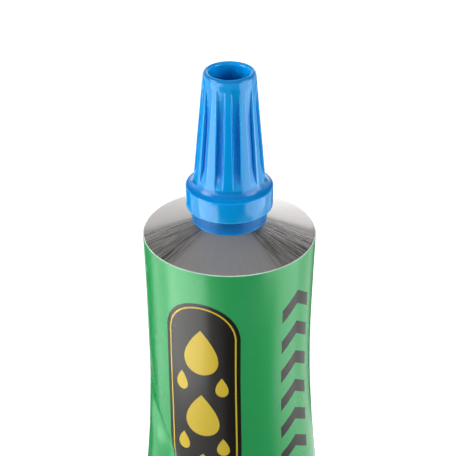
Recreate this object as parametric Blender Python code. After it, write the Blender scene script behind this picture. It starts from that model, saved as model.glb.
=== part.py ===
"""Collapsible aluminium tube of gel glue, with a fluted screw cap that carries a piercing spike in its top.

Metres, with +Z up along the tube. The origin is under the middle of the folded tail, the fold runs along X,
and the front of the tube faces -Y. Heights named "above the rim" start at the edge of the shoulder.
"""

import math

import bmesh
import bpy

# Sleeve: round below the shoulder, pressed flat at the tail
TUBE_RADIUS = 0.0125
TUBE_WALL = 0.00013
SLEEVE_LENGTH = 0.092
ROUND_LENGTH = 0.018
ROUND_SPREAD = 0.0003
RIM_ROUND = 0.0005

# Tail: the flattened end, turned over twice
FOLD_HEIGHT = 0.005
FOLD_GAP = 0.00006
SEAL_FILM = 0.00004

# Latex band inside the sleeve, above the fold
SEAL_HEIGHT = 0.004
SEAL_ROOM = 0.001
SEAL_GAP = 0.00015

# Shoulder, threaded neck and nozzle
SHOULDER_ANGLE = math.radians(17.2)
SHOULDER_WALL = 0.0006
NECK_RADIUS = 0.00375
NECK_LENGTH = 0.0049
NECK_WALL = 0.0009
NECK_CHAMFER = 0.0003
NOZZLE_LENGTH = 0.0051
NOZZLE_TAPER = 0.0003
SPOUT_RADIUS = 0.0015
MOUTH_WALL = 0.00035
MOUTH_ROUND = 0.0001

# Membrane on a ledge in the nozzle's mouth
MEMBRANE_LEDGE = 0.00035
MEMBRANE_THICKNESS = 0.00015
MEMBRANE_GAP = 0.00005

# Cap, from the thread outwards and from the skirt upwards
THREAD_DEPTH = 0.0006
CAP_WALL = 0.00076
SKIRT_EDGE = 0.00015
FLANGE_LIP = 0.00082
FLANGE_HEIGHT = 0.0033
FLANGE_TOP_ROUND = 0.00025
FLANGE_EDGE = 0.0002
FOOT_COVER = 0.0011
FOOT_HEIGHT = 0.00115
FOOT_INSET = 0.00034
NOZZLE_ROOM = 0.0007
WEB_THICKNESS = 0.0015
RECESS_ROOM = 0.00035
RECESS_DEPTH = 0.0094
RECESS_FLOOR_ROUND = 0.0004
CAP_RIM_WALL = 0.00077
SPIKE_RADIUS = 0.001
SPIKE_DEPTH = 0.0042

# Flutes round the cap's cone
FLUTE_COUNT = 12
FLUTE_WIDTH = 0.00127
FLUTE_DEPTH = 0.00055
FLUTE_SQUARENESS = 4
FLUTE_FOOT_MARGIN = 0.0002
FLUTE_TOP_MARGIN = 0.0014
FLUTE_FOOT_RUN_OUT = 0.003
FLUTE_TOP_RUN_OUT = 0.006
FLUTE_PHASE = math.radians(-77.5)

# Sealing wad under the cap's web
LINER_THICKNESS = 0.001
LINER_GAP = 0.0001

# Room between pieces that touch on the real tube
CLEARANCE = 0.0003

# Facets
TUBE_SIDES = 48
DISC_SIDES = 32
SLEEVE_STEPS = 14
ROUND_STEPS = 3
BEND_STEPS = 4
EDGE_STEPS = 3
FLUTE_POINTS = (-1.0, -0.75, 0.0, 0.75, 1.0)
FOOT_RUN_OUT_LEVELS = (0.0, 0.25, 0.5, 0.75, 1.0)
TOP_RUN_OUT_LEVELS = (1.0, 0.75, 0.5, 0.25, 0.1, 0.0)
WIDEST_FLUTE = 0.7

# Sizes that follow from the ones above
rim_height = FOLD_HEIGHT + SLEEVE_LENGTH
girth = 2 * math.pi * TUBE_RADIUS
layer = 2 * TUBE_WALL + SEAL_FILM
fold_step = layer + FOLD_GAP
cavity_length = SLEEVE_LENGTH - SEAL_ROOM
seal_foot = cavity_length - CLEARANCE
seal_top = seal_foot - SEAL_HEIGHT

neck_bore = NECK_RADIUS - NECK_WALL
mouth_radius = SPOUT_RADIUS + MEMBRANE_LEDGE
tip_radius = mouth_radius + MOUTH_WALL
nozzle_foot_radius = tip_radius + NOZZLE_TAPER
ledge_depth = MEMBRANE_THICKNESS + 2 * MEMBRANE_GAP


def shoulder_height(radius, depth_below=0.0):
    """Height above the rim of the shoulder's cone, or of a cone at this depth below its surface."""
    return (TUBE_RADIUS - radius) * math.tan(SHOULDER_ANGLE) - depth_below / math.cos(SHOULDER_ANGLE)


neck_top = shoulder_height(NECK_RADIUS) + NECK_LENGTH
nozzle_tip = neck_top + NOZZLE_LENGTH
throat_foot = neck_top - NECK_WALL

thread_bore = NECK_RADIUS + THREAD_DEPTH + CLEARANCE
skirt_radius = thread_bore + CAP_WALL
flange_radius = skirt_radius + FLANGE_LIP
foot_radius = skirt_radius - FOOT_INSET
well_radius = nozzle_foot_radius + NOZZLE_ROOM
recess_radius = nozzle_foot_radius + RECESS_ROOM
cap_rim_radius = recess_radius + CAP_RIM_WALL
skirt_bottom = shoulder_height(skirt_radius) + CLEARANCE
thread_top = neck_top + CLEARANCE
cone_foot = thread_top + FOOT_COVER
flange_top = cone_foot - FOOT_HEIGHT
flange_bottom = flange_top - FLANGE_HEIGHT
liner_bottom = nozzle_tip + CLEARANCE
web_bottom = liner_bottom + LINER_THICKNESS + LINER_GAP
recess_floor = web_bottom + WEB_THICKNESS
cap_top = recess_floor + RECESS_DEPTH
spike_tip = cap_top - SPIKE_DEPTH
flute_foot = cone_foot + FLUTE_FOOT_MARGIN
flute_top = cap_top - FLUTE_TOP_MARGIN


def ellipse_girth(half_width, half_depth):
    """Ramanujan's formula for the length round an ellipse."""
    spread = ((half_width - half_depth) / (half_width + half_depth)) ** 2
    return math.pi * (half_width + half_depth) * (1 + 3 * spread / (10 + math.sqrt(4 - 3 * spread)))


def sleeve_half_depth(below_rim):
    """Half of the sleeve's depth from front to back: round at first, then a bulging wedge down to the fold."""
    fullest = TUBE_RADIUS + ROUND_SPREAD
    if below_rim < ROUND_LENGTH:
        return TUBE_RADIUS + ROUND_SPREAD * math.sin(math.pi / 2 * below_rim / ROUND_LENGTH)
    along = (below_rim - ROUND_LENGTH) / (SLEEVE_LENGTH - ROUND_LENGTH)
    return layer / 2 + (fullest - layer / 2) * (1 - along**2)


def sleeve_half_width(half_depth):
    """Half of the width that keeps the round tube's girth, because the metal bends and doesn't stretch."""
    low, high = TUBE_RADIUS / 2, girth / 4
    for _ in range(50):
        middle = (low + high) / 2
        if ellipse_girth(middle, half_depth) < girth:
            low = middle
        else:
            high = middle
    return low


def turn(side, sides):
    return 2 * math.pi * side / sides


def ring(half_width, half_depth, height, sides=TUBE_SIDES):
    """One level, elliptical loop of points round the tube's axis."""
    return [
        (half_width * math.cos(turn(side, sides)), half_depth * math.sin(turn(side, sides)), height)
        for side in range(sides)
    ]


def sleeve_ring(below_rim, inset=0.0):
    half_depth = sleeve_half_depth(below_rim)
    return ring(sleeve_half_width(half_depth) - inset, half_depth - inset, rim_height - below_rim)


def sleeve_levels(start, end):
    """Depths below the rim for the loft's rings, the same ones on every surface between start and end."""
    rounded = [ROUND_LENGTH * step / ROUND_STEPS for step in range(ROUND_STEPS)]
    wedge = (SLEEVE_LENGTH - ROUND_LENGTH) / SLEEVE_STEPS
    flattened = [ROUND_LENGTH + wedge * step for step in range(SLEEVE_STEPS)]
    clear = wedge / 4
    between = [level for level in rounded + flattened if start + clear < level < end - clear]
    return [start, *between, end]


def fold_ring(angle, back, height):
    """The flat end's loop where the fold has turned by this angle, at this place in the YZ plane."""
    half_width = sleeve_half_width(layer / 2)
    half_turn = TUBE_SIDES // 2
    points = []
    for side in range(TUBE_SIDES):
        on_edge = side % half_turn == 0
        off = 0.0 if on_edge else math.copysign(layer / 2, half_turn - side)
        x = half_width * math.cos(turn(side, TUBE_SIDES))
        points.append((x, back + off * math.cos(angle), height + off * math.sin(angle)))
    return points


def bend_rings(back, height, radius, start, end):
    """Rings round one bend of the fold, whose centre is at this place in the YZ plane."""
    rings = []
    for step in range(BEND_STEPS + 1):
        angle = start + (end - start) * step / BEND_STEPS
        rings.append(fold_ring(angle, back - radius * math.cos(angle), height - radius * math.sin(angle)))
    return rings


def tail_rings():
    """The double fold from the sleeve down: down the front, up the back, and down again between them."""
    low = fold_step + layer / 2
    high = FOLD_HEIGHT - (layer + fold_step) / 2
    rings = [fold_ring(0, 0, FOLD_HEIGHT)]
    rings += bend_rings(fold_step, low, fold_step, 0, math.pi)
    rings += bend_rings(1.5 * fold_step, high, fold_step / 2, math.pi, 2 * math.pi)
    rings.append(fold_ring(2 * math.pi, fold_step, low + CLEARANCE))
    return rings


def arc(radius, height, size, start, end):
    """Points (radius, height) round part of a circle in the profile plane, angles in radians."""
    angles = [start + (end - start) * step / EDGE_STEPS for step in range(EDGE_STEPS + 1)]
    return [(radius + size * math.cos(angle), height + size * math.sin(angle)) for angle in angles]


def shoulder_profile():
    """Outside of the shoulder, neck and nozzle, from the rim up to the ledge inside the mouth."""
    lean = math.pi / 2 - SHOULDER_ANGLE
    rim = arc(TUBE_RADIUS - RIM_ROUND, -RIM_ROUND * math.tan(lean / 2), RIM_ROUND, 0, lean)
    mouth = arc(tip_radius - MOUTH_ROUND, nozzle_tip - MOUTH_ROUND, MOUTH_ROUND, 0, math.pi / 2)
    return [
        *rim,
        (skirt_radius, shoulder_height(skirt_radius)),
        (NECK_RADIUS, shoulder_height(NECK_RADIUS)),
        (NECK_RADIUS, neck_top - NECK_CHAMFER),
        (NECK_RADIUS - NECK_CHAMFER, neck_top),
        (nozzle_foot_radius, neck_top),
        *mouth,
        (mouth_radius, nozzle_tip),
        (mouth_radius, nozzle_tip - ledge_depth),
    ]


def cavity_profile(top, inset=0.0):
    """Inside of the spout, neck and shoulder from this height down to the sleeve, or that shape shrunk by inset."""
    spout = SPOUT_RADIUS - inset
    neck = neck_bore - inset
    sleeve = TUBE_RADIUS - TUBE_WALL - inset
    below = SHOULDER_WALL + inset
    return [
        (spout, top),
        (spout, neck_top - inset),
        (neck, throat_foot - inset),
        (neck, shoulder_height(neck, below)),
        (sleeve, shoulder_height(sleeve, below)),
    ]


def turned(profile, sides=TUBE_SIDES):
    """Rings for a profile (radius, height above the rim) turned round the tube's axis."""
    return [ring(radius, radius, rim_height + height, sides) for radius, height in profile]


def flute_run(height):
    """Share of a flute's full depth at this height: it fades out towards the cap's rim and at the cone's foot."""
    rise = (height - flute_foot) / FLUTE_FOOT_RUN_OUT
    fall = (flute_top - height) / FLUTE_TOP_RUN_OUT
    share = min(1.0, max(0.0, min(rise, fall)))
    return share * (2 - share)


def cap_ring(radius, height, run=0.0):
    """One loop round the cap, with a point on each flute's edges, walls, flat bottom and the land beside it."""
    pitch = 2 * math.pi / FLUTE_COUNT
    half_angle = min(FLUTE_WIDTH / 2 / radius, WIDEST_FLUTE * pitch / 2)
    points = []
    for flute in range(FLUTE_COUNT):
        middle = FLUTE_PHASE + pitch * flute
        for across in FLUTE_POINTS:
            reach = radius - FLUTE_DEPTH * run * (1 - across**FLUTE_SQUARENESS)
            angle = middle + across * half_angle
            points.append((reach * math.cos(angle), reach * math.sin(angle), height))
        angle = middle + pitch / 2
        points.append((radius * math.cos(angle), radius * math.sin(angle), height))
    return points


def cone_radius(height):
    share = (height - cone_foot) / (cap_top - cone_foot)
    return foot_radius + (cap_rim_radius - foot_radius) * share


def cone_levels():
    """Heights of the rings up the fluted cone, closer together where the flutes fade out."""
    foot = [flute_foot + FLUTE_FOOT_RUN_OUT * share for share in FOOT_RUN_OUT_LEVELS]
    top = [flute_top - FLUTE_TOP_RUN_OUT * share for share in TOP_RUN_OUT_LEVELS]
    return foot + top


def cap_rings():
    """The cap from the ceiling over the nozzle, down the inside, up the outside and down to the spike's foot."""
    flange_shelf = flange_radius - FLANGE_TOP_ROUND
    foot_reach = flange_shelf - foot_radius
    quarter = math.pi / 2
    rim_round = CAP_RIM_WALL / 2
    inside = [
        (well_radius, web_bottom),
        (well_radius, thread_top),
        (thread_bore, thread_top),
        (thread_bore, skirt_bottom + SKIRT_EDGE),
        (thread_bore + SKIRT_EDGE, skirt_bottom),
    ]
    flange = [
        (skirt_radius - SKIRT_EDGE, skirt_bottom),
        (skirt_radius, skirt_bottom + SKIRT_EDGE),
        (skirt_radius, flange_bottom),
        *arc(flange_radius - FLANGE_EDGE, flange_bottom + FLANGE_EDGE, FLANGE_EDGE, -quarter, 0),
        *arc(flange_shelf, flange_top - FLANGE_TOP_ROUND, FLANGE_TOP_ROUND, 0, quarter),
    ]
    foot = []
    for step in range(1, EDGE_STEPS + 1):
        angle = quarter * step / EDGE_STEPS
        foot.append((flange_shelf - foot_reach * math.sin(angle), cone_foot - FOOT_HEIGHT * math.cos(angle)))
    rim_foot = cap_top - rim_round
    rim = arc(recess_radius + rim_round, rim_foot, rim_round, 0, quarter)
    rim += arc(recess_radius + rim_round, rim_foot, rim_round, quarter, math.pi)[1:]
    floor_round = RECESS_FLOOR_ROUND
    recess = [
        (recess_radius, recess_floor + floor_round),
        (recess_radius - floor_round, recess_floor),
        (SPIKE_RADIUS, recess_floor),
    ]
    rings = [cap_ring(radius, height) for radius, height in inside + flange + foot]
    rings += [cap_ring(cone_radius(height), height, flute_run(height)) for height in cone_levels()]
    rings += [cap_ring(radius, height) for radius, height in rim + recess]
    return rings


def finish(name, red, green, blue, metallic, roughness):
    material = bpy.data.materials.new(name)
    material.use_nodes = True
    shader = material.node_tree.nodes["Principled BSDF"]
    shader.inputs["Base Color"].default_value = (red, green, blue, 1)
    shader.inputs["Metallic"].default_value = metallic
    shader.inputs["Roughness"].default_value = roughness
    return material


def loft(name, rings, material, tip=None):
    """A closed solid skinned over loops of equally many points, with a flat end or, at the last ring, a tip."""
    shape = bmesh.new()
    loops = [[shape.verts.new(point) for point in points] for points in rings]
    for one, next_one in zip(loops, loops[1:]):
        for side in range(len(one)):
            after = (side + 1) % len(one)
            shape.faces.new((one[side], one[after], next_one[after], next_one[side]))
    shape.faces.new(loops[0])
    if tip:
        point = shape.verts.new(tip)
        last = loops[-1]
        for side in range(len(last)):
            shape.faces.new((last[side], last[(side + 1) % len(last)], point))
    else:
        shape.faces.new(loops[-1])
    bmesh.ops.recalc_face_normals(shape, faces=shape.faces)
    mesh = bpy.data.meshes.new(name)
    shape.to_mesh(mesh)
    shape.free()
    mesh.shade_smooth()
    mesh.set_sharp_from_angle(angle=math.radians(35))
    mesh.materials.append(material)
    solid = bpy.data.objects.new(name, mesh)
    bpy.context.collection.objects.link(solid)
    return solid


def put_on(parent, solid):
    """Parents a solid to an empty and moves its origin there, with its shape left in place."""
    for vertex in solid.data.vertices:
        vertex.co -= parent.location
    solid.parent = parent


def tube_body():
    outside = tail_rings()[::-1]
    rim_drop = RIM_ROUND * math.tan((math.pi / 2 - SHOULDER_ANGLE) / 2)
    outside += [sleeve_ring(level) for level in sleeve_levels(rim_drop, SLEEVE_LENGTH)[-2:0:-1]]
    outside += turned(shoulder_profile())
    cavity = cavity_profile(nozzle_tip - ledge_depth)
    inside_rim = -cavity[-1][1]
    inside = turned(cavity)
    inside += [sleeve_ring(level, TUBE_WALL) for level in sleeve_levels(inside_rim, cavity_length)[1:]]
    aluminium = finish("lacquered_aluminium", 0.03, 0.26, 0.075, 0.0, 0.35)
    return loft("tube_body", outside + inside, aluminium)


def neck_membrane():
    bottom = nozzle_tip - ledge_depth + MEMBRANE_GAP
    radius = mouth_radius - MEMBRANE_GAP
    foil = finish("bare_foil", 0.8, 0.8, 0.81, 1.0, 0.25)
    rings = turned([(radius, bottom), (radius, bottom + MEMBRANE_THICKNESS)], DISC_SIDES)
    return loft("neck_membrane", rings, foil)


def gel_fill():
    profile = cavity_profile(nozzle_tip - ledge_depth - CLEARANCE, CLEARANCE)
    rings = turned(profile)
    levels = sleeve_levels(-profile[-1][1], seal_top - CLEARANCE)
    rings += [sleeve_ring(level, TUBE_WALL + CLEARANCE) for level in levels[1:]]
    gel = finish("gel_glue", 0.85, 0.8, 0.62, 0.0, 0.15)
    return loft("gel_fill", rings, gel)


def end_seal():
    levels = [seal_top + SEAL_HEIGHT * step / EDGE_STEPS for step in range(EDGE_STEPS + 1)]
    latex = finish("latex", 0.72, 0.52, 0.3, 0.0, 0.6)
    return loft("end_seal", [sleeve_ring(level, TUBE_WALL + SEAL_GAP) for level in levels], latex)


def cap_liner():
    radius = well_radius - CLEARANCE
    foam = finish("foam_wad", 0.82, 0.82, 0.8, 0.0, 0.8)
    rings = turned([(radius, liner_bottom), (radius, liner_bottom + LINER_THICKNESS)], DISC_SIDES)
    return loft("cap_liner", rings, foam)


def screw_cap():
    rings = [[(x, y, rim_height + z) for x, y, z in points] for points in cap_rings()]
    blue = finish("blue_plastic", 0.002, 0.23, 0.61, 0.0, 0.28)
    return loft("screw_cap", rings, blue, tip=(0, 0, rim_height + spike_tip))


for old in list(bpy.data.objects):
    bpy.data.objects.remove(old, do_unlink=True)

tube_body()
neck_membrane()
gel_fill()
end_seal()
cap_axis = bpy.data.objects.new("cap_axis", None)
cap_axis.location = (0, 0, rim_height + skirt_bottom)
bpy.context.collection.objects.link(cap_axis)
put_on(cap_axis, cap_liner())
put_on(cap_axis, screw_cap())
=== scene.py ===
"""Looks of a collapsible aluminium tube of gel glue with a fluted screw cap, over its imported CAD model.

Metres, in the CAD's frame: +Z up along the tube, the fold along X, the front towards -Y. Heights named
"above the rim" start at the edge of the shoulder, and depths named "below the rim" go down the sleeve.
"""

import math

import bpy
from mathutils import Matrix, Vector


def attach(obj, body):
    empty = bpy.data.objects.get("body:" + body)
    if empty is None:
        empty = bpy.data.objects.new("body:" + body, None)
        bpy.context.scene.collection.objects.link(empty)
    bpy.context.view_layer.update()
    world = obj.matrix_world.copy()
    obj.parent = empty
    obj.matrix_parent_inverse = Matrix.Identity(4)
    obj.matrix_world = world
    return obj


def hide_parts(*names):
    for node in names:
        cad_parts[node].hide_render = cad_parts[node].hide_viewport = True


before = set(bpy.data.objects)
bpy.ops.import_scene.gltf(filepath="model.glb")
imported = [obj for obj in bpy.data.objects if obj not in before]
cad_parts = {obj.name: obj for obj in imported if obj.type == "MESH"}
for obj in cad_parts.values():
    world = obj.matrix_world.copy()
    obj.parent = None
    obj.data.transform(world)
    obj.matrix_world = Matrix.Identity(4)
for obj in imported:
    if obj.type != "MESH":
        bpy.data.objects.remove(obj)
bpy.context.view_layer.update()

# Tube: one cup of aluminium struck out of a slug in a single blow, so that sleeve, shoulder, neck and
# nozzle are one wall. The sleeve is lacquered and printed, the shoulder is trimmed on a lathe and stays
# bare, and the open end is pressed flat and folded over twice after filling. A thin gold coat of epoxy
# inside keeps the glue off the metal.

TUBE_RADIUS = 0.0125
TUBE_WALL = 0.00013
SLEEVE_LENGTH = 0.092
ROUND_LENGTH = 0.018
ROUND_SPREAD = 0.0003
RIM_ROUND = 0.0002

FRONT_BEARING = 270
CREASE_FROM = -75
CREASE_TO = -52
CREASE_SPREAD = 9
CREASE_DEPTH = 0.00028
CREASE_DEEP = 0.0012
CREASE_START = 0.018
CREASE_TURN = 0.0255
CREASE_TURN_END = 0.035
CREASE_FADE = 0.036
CREASE_END = 0.05
LEAN = 0.0004
LEAN_START = 0.014
LEAN_FULL = 0.046
LEAN_FADE = 0.05
LEAN_END = 0.084

FOLD_HEIGHT = 0.005
FOLD_GAP = 0.00006
FOLD_FLATNESS = 6
SEAL_FILM = 0.00004
SEAL_ROOM = 0.001
CRIMP_PITCH = 0.0021
CRIMP_DEPTH = 0.00006
CRIMP_FADE = 0.0008

SHOULDER_ANGLE = math.radians(17.2)
SHOULDER_WALL = 0.0006
NECK_RADIUS = 0.00375
NECK_LENGTH = 0.0049
NECK_WALL = 0.0009
NECK_CHAMFER = 0.0003
NECK_FILLET = 0.0004
FILLET_POINT_OUT = 1 / 4
FILLET_POINT_UP = 1 / 3
NOZZLE_LENGTH = 0.0051
NOZZLE_TAPER = 0.0003
SPOUT_RADIUS = 0.0015
MOUTH_WALL = 0.00035
MOUTH_ROUND = 0.0001
MEMBRANE_LEDGE = 0.00035
LEDGE_DEPTH = 0.00025

THREAD_PITCH = 0.00125
THREAD_HEIGHT = 0.0006
THREAD_FOOT = 0.0006
THREAD_CREST = 0.00022
THREAD_START = 0.0033
THREAD_END = 0.0072
THREAD_RUN_OUT = 0.0004

SIDES = 288
SLEEVE_STEP = 0.0012
THREAD_STEP = 0.00007
ARC_STEPS = 8
SHOULDER_STEPS = 10
LEG_STEPS = 6
HALVINGS = 50
QUARTER_TURN = math.pi / 2
SHARP_ANGLE = math.radians(40)

rim_height = FOLD_HEIGHT + SLEEVE_LENGTH
girth = 2 * math.pi * TUBE_RADIUS
layer = 2 * TUBE_WALL + SEAL_FILM
fold_step = layer + FOLD_GAP
cavity_length = SLEEVE_LENGTH - SEAL_ROOM
rim_turn = QUARTER_TURN - SHOULDER_ANGLE
rim_drop = RIM_ROUND * math.tan(rim_turn / 2)
neck_bore = NECK_RADIUS - NECK_WALL
mouth_radius = SPOUT_RADIUS + MEMBRANE_LEDGE
tip_radius = mouth_radius + MOUTH_WALL
nozzle_foot_radius = tip_radius + NOZZLE_TAPER


def shoulder_height(radius, depth_below=0.0):
    """Height above the rim of the shoulder's cone, or of a cone at this depth below its surface."""
    return (TUBE_RADIUS - radius) * math.tan(SHOULDER_ANGLE) - depth_below / math.cos(SHOULDER_ANGLE)


neck_top = shoulder_height(NECK_RADIUS) + NECK_LENGTH
nozzle_tip = neck_top + NOZZLE_LENGTH
throat_foot = neck_top - NECK_WALL


def ellipse_girth(half_width, half_depth):
    """Ramanujan's formula for the length round an ellipse."""
    spread = ((half_width - half_depth) / (half_width + half_depth)) ** 2
    return math.pi * (half_width + half_depth) * (1 + 3 * spread / (10 + math.sqrt(4 - 3 * spread)))


def sleeve_half_depth(below_rim):
    """Half of the sleeve's depth from front to back: round at first, then a bulging wedge to the fold."""
    fullest = TUBE_RADIUS + ROUND_SPREAD
    if below_rim < ROUND_LENGTH:
        return TUBE_RADIUS + ROUND_SPREAD * math.sin(QUARTER_TURN * below_rim / ROUND_LENGTH)
    along = (below_rim - ROUND_LENGTH) / (SLEEVE_LENGTH - ROUND_LENGTH)
    return layer / 2 + (fullest - layer / 2) * (1 - along**2)


def sleeve_half_width(half_depth):
    """Half of the width that keeps the round tube's girth, because the metal bends and doesn't stretch."""
    low, high = TUBE_RADIUS / 2, girth / 4
    for _ in range(HALVINGS):
        middle = (low + high) / 2
        if ellipse_girth(middle, half_depth) < girth:
            low = middle
        else:
            high = middle
    return low


def bearing(side, sides=SIDES):
    """Angle of a loop's point, from the back round by the left, the front and the right."""
    return QUARTER_TURN + 2 * math.pi * side / sides


def clamped(value):
    """The value, or 0 or 1 where it lies outside that range."""
    return min(1.0, max(0.0, value))


def eased(value, start, end):
    """A share that goes smoothly from 0 to 1 while value goes from start to end."""
    share = clamped((value - start) / (end - start))
    return share * share * (3 - 2 * share)


def crease_depth(angle, below_rim):
    """How far handling has pushed the wall in: a crease on the left that slants forward as it deepens."""
    from_front = math.degrees(angle) - FRONT_BEARING
    turn = eased(below_rim, CREASE_TURN, CREASE_TURN_END)
    middle = CREASE_FROM + (CREASE_TO - CREASE_FROM) * turn
    deepest = CREASE_DEPTH + (CREASE_DEEP - CREASE_DEPTH) * turn
    along = eased(below_rim, CREASE_START, CREASE_TURN) * eased(below_rim, CREASE_END, CREASE_FADE)
    return deepest * along * math.exp(-(((from_front - middle) / CREASE_SPREAD) ** 2))


def lean(below_rim):
    """How far handling has bent the sleeve to the right at this depth. It is straight again at the fold."""
    return LEAN * eased(below_rim, LEAN_START, LEAN_FULL) * eased(below_rim, LEAN_END, LEAN_FADE)


def sleeve_ring(below_rim, inset=0.0):
    """One loop round the sleeve at this depth below the rim, or round a shape inside it."""
    half_depth = sleeve_half_depth(below_rim)
    half_width = sleeve_half_width(half_depth)
    points = []
    for side in range(SIDES):
        angle = bearing(side)
        pushed = inset + crease_depth(angle, below_rim)
        x = lean(below_rim) + (half_width - pushed) * math.cos(angle)
        points.append((x, (half_depth - pushed) * math.sin(angle), rim_height - below_rim))
    return points


def evenly(start, end, count):
    """Values from start to end in this many equal steps."""
    return [start + (end - start) * step / count for step in range(count + 1)]


def steps_between(start, end, longest):
    """Evenly spaced values from start to end, no further apart than longest."""
    return evenly(start, end, max(1, math.ceil(abs(end - start) / longest)))


def on_circle(angle, radius, height):
    """The point at this angle and radius round the tube's axis, this high above the rim."""
    return (radius * math.cos(angle), radius * math.sin(angle), rim_height + height)


def turned(profile, sides=SIDES):
    """Rings for a profile (radius, height above the rim) turned round the tube's axis."""
    angles = [bearing(side, sides) for side in range(sides)]
    return [[on_circle(angle, radius, height) for angle in angles] for radius, height in profile]


def arc(radius, height, size, start, end):
    """Points (radius, height) round part of a circle in the profile plane, angles in radians."""
    angles = evenly(start, end, ARC_STEPS)
    return [(radius + size * math.cos(angle), height + size * math.sin(angle)) for angle in angles]


def thread_rise(angle, height, shift=0.0):
    """Share of the thread's height here: one right-hand ridge that runs out at both its ends. Shift, a
    share of the pitch, moves it down."""
    from_ridge = (height / THREAD_PITCH - angle / (2 * math.pi) + shift) % 1.0 - 0.5
    flank = THREAD_FOOT / 2 - abs(from_ridge) * THREAD_PITCH
    ridge = clamped(flank / ((THREAD_FOOT - THREAD_CREST) / 2))
    start = clamped((height - THREAD_START) / THREAD_RUN_OUT)
    end = clamped((THREAD_END - height) / THREAD_RUN_OUT)
    return ridge * start * end


def neck_rings():
    """The threaded neck, from its chamfered top down to the shoulder."""
    rings = []
    foot = shoulder_height(NECK_RADIUS) + NECK_FILLET
    for height in steps_between(neck_top - NECK_CHAMFER, foot, THREAD_STEP):
        points = []
        for side in range(SIDES):
            radius = NECK_RADIUS + THREAD_HEIGHT * thread_rise(bearing(side), height)
            points.append(on_circle(bearing(side), radius, height))
        rings.append(points)
    return rings


def fold_ring(angle, back, height):
    """The flat end's loop where the fold has turned by this angle, at this place in the YZ plane."""
    half_width = sleeve_half_width(layer / 2)
    points = []
    for side in range(SIDES):
        across = math.sin(bearing(side))
        off = layer / 2 * math.copysign(min(1.0, FOLD_FLATNESS * abs(across)), across)
        x = half_width * math.cos(bearing(side))
        z = height + off * math.sin(angle)
        pressed = clamped((FOLD_HEIGHT - z) / CRIMP_FADE)
        crimp = CRIMP_DEPTH * pressed * math.cos(2 * math.pi * x / CRIMP_PITCH)
        points.append((x, back + off * math.cos(angle) + crimp, z))
    return points


def bend_rings(back, height, radius, start, end):
    """Rings round one bend of the fold, whose centre is at this place in the YZ plane."""
    rings = []
    for angle in evenly(start, end, ARC_STEPS):
        rings.append(fold_ring(angle, back - radius * math.cos(angle), height - radius * math.sin(angle)))
    return rings


def leg_rings(angle, back, start, end):
    """Rings down or up one straight leg of the fold, without its ends."""
    return [fold_ring(angle, back, height) for height in evenly(start, end, LEG_STEPS)[1:-1]]


def tail_rings():
    """The double fold from the sleeve down: down the front, up the back, and down again between them."""
    low = fold_step + layer / 2
    high = FOLD_HEIGHT - (layer + fold_step) / 2
    end = low + 2 * fold_step
    rings = leg_rings(0, 0, FOLD_HEIGHT, low)
    rings += bend_rings(fold_step, low, fold_step, 0, math.pi)
    rings += leg_rings(math.pi, 2 * fold_step, low, high)
    rings += bend_rings(1.5 * fold_step, high, fold_step / 2, math.pi, 2 * math.pi)
    rings += leg_rings(2 * math.pi, fold_step, high, end)
    rings.append(fold_ring(2 * math.pi, fold_step, end))
    return rings


def cavity_profile(top, inset=0.0):
    """Inside of spout, neck and shoulder from this height down to the sleeve, or a shape inset from it."""
    spout = SPOUT_RADIUS - inset
    neck = neck_bore - inset
    sleeve = TUBE_RADIUS - TUBE_WALL - inset
    below = SHOULDER_WALL + inset
    return [
        (spout, top),
        (spout, neck_top - inset),
        (neck, throat_foot - inset),
        (neck, shoulder_height(neck, below)),
        (sleeve, shoulder_height(sleeve, below)),
    ]


def inside_rings():
    """The cavity from the latex band's room up to the ledge in the mouth."""
    profile = cavity_profile(nozzle_tip - LEDGE_DEPTH)
    rim_inside = -profile[-1][1]
    levels = steps_between(cavity_length, rim_inside, SLEEVE_STEP)
    return [sleeve_ring(level, TUBE_WALL) for level in levels[:-1]] + turned(profile[::-1])


def nozzle_profile():
    """Outside of the nozzle, from the membrane's ledge over the lip and down to the neck's chamfer."""
    return [
        (mouth_radius, nozzle_tip - LEDGE_DEPTH),
        (mouth_radius, nozzle_tip),
        *arc(tip_radius - MOUTH_ROUND, nozzle_tip - MOUTH_ROUND, MOUTH_ROUND, QUARTER_TURN, 0),
        (nozzle_foot_radius, neck_top),
        (NECK_RADIUS - NECK_CHAMFER, neck_top),
    ]


def shoulder_profile():
    """The bare cone, from one point in the fillet at the neck out to the edge."""
    reach = NECK_FILLET * math.tan(rim_turn / 2)
    fillet_radius = NECK_RADIUS + reach * FILLET_POINT_OUT
    fillet_height = shoulder_height(NECK_RADIUS) + NECK_FILLET * FILLET_POINT_UP
    foot = NECK_RADIUS + reach
    outer = TUBE_RADIUS - RIM_ROUND * (1 - math.cos(rim_turn))
    radii = steps_between(foot, outer, (outer - foot) / SHOULDER_STEPS)[:-1]
    return [(fillet_radius, fillet_height)] + [(radius, shoulder_height(radius)) for radius in radii]


def rim_profile():
    """The rounded edge between shoulder and sleeve, from the shoulder down."""
    return arc(TUBE_RADIUS - RIM_ROUND, -rim_drop, RIM_ROUND, rim_turn, 0)


def sleeve_rings():
    """The sleeve from the rim's edge down to the fold."""
    return [sleeve_ring(level) for level in steps_between(rim_drop, SLEEVE_LENGTH, SLEEVE_STEP)[1:]]


def girth_shares(points):
    """How far round its loop each point lies, from 0 at the first to 1 back at the first again."""
    lengths = [0.0]
    for side in range(len(points)):
        lengths.append(lengths[-1] + math.dist(points[side], points[(side + 1) % len(points)]))
    return [length / lengths[-1] for length in lengths]


def path_lengths(rings):
    """How far along its front line each ring of a loft lies."""
    front = len(rings[0]) // 2
    lengths = [0.0]
    for one, other in zip(rings, rings[1:]):
        lengths.append(lengths[-1] + math.dist(one[front], other[front]))
    return lengths


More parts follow.
